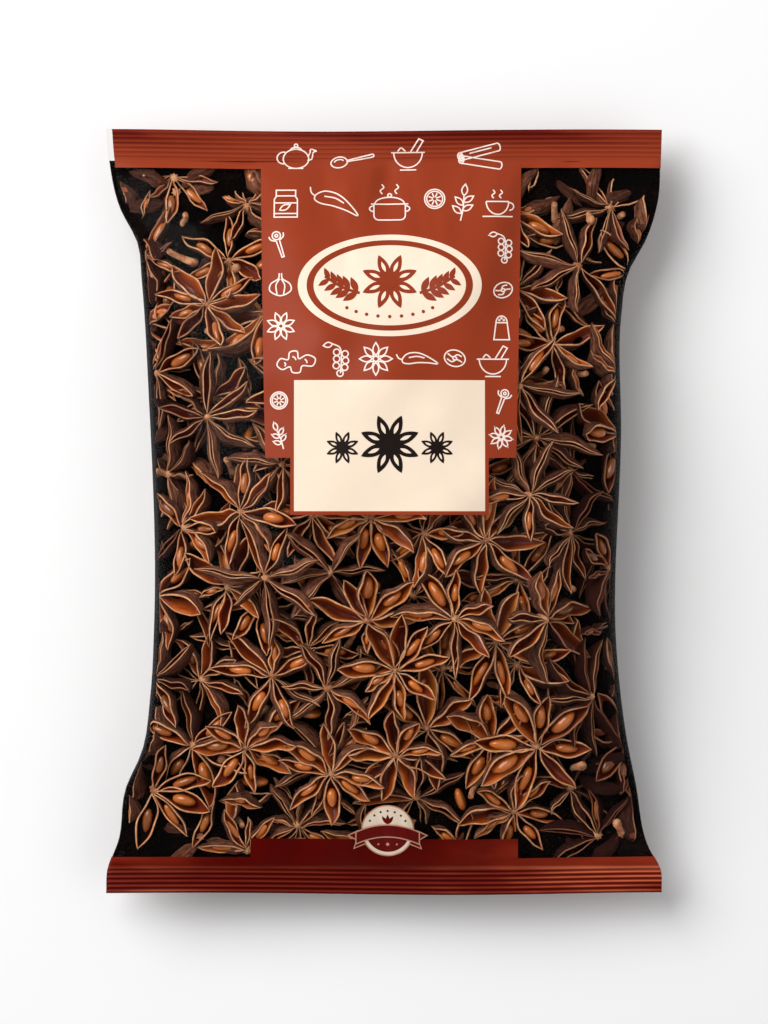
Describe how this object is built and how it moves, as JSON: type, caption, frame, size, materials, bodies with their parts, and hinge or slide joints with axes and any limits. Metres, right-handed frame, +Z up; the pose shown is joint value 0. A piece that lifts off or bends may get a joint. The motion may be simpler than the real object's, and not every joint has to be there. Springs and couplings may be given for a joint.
{
  "type": "pillow pack of star anise",
  "caption": "Sealed pillow pack of whole star anise: a filled tube of clear film, crimped flat across both ends, with printed end bands and a printed front label. Lies on its back.",
  "frame": {"origin": "centre of the pack's outline, on the surface that it lies on", "axes": "+X across the pack to the right, +Y along it towards the top seal, +Z up through the printed front"},
  "size_m": [0.139, 0.1914, 0.0451],
  "materials": {
    "printed_film": "clear packing film with a satin gloss, printed brick red in bands and a label"
  },
  "bodies": {
    "root": {"pillow_pack": "printed_film"}
  },
  "joints": []
}
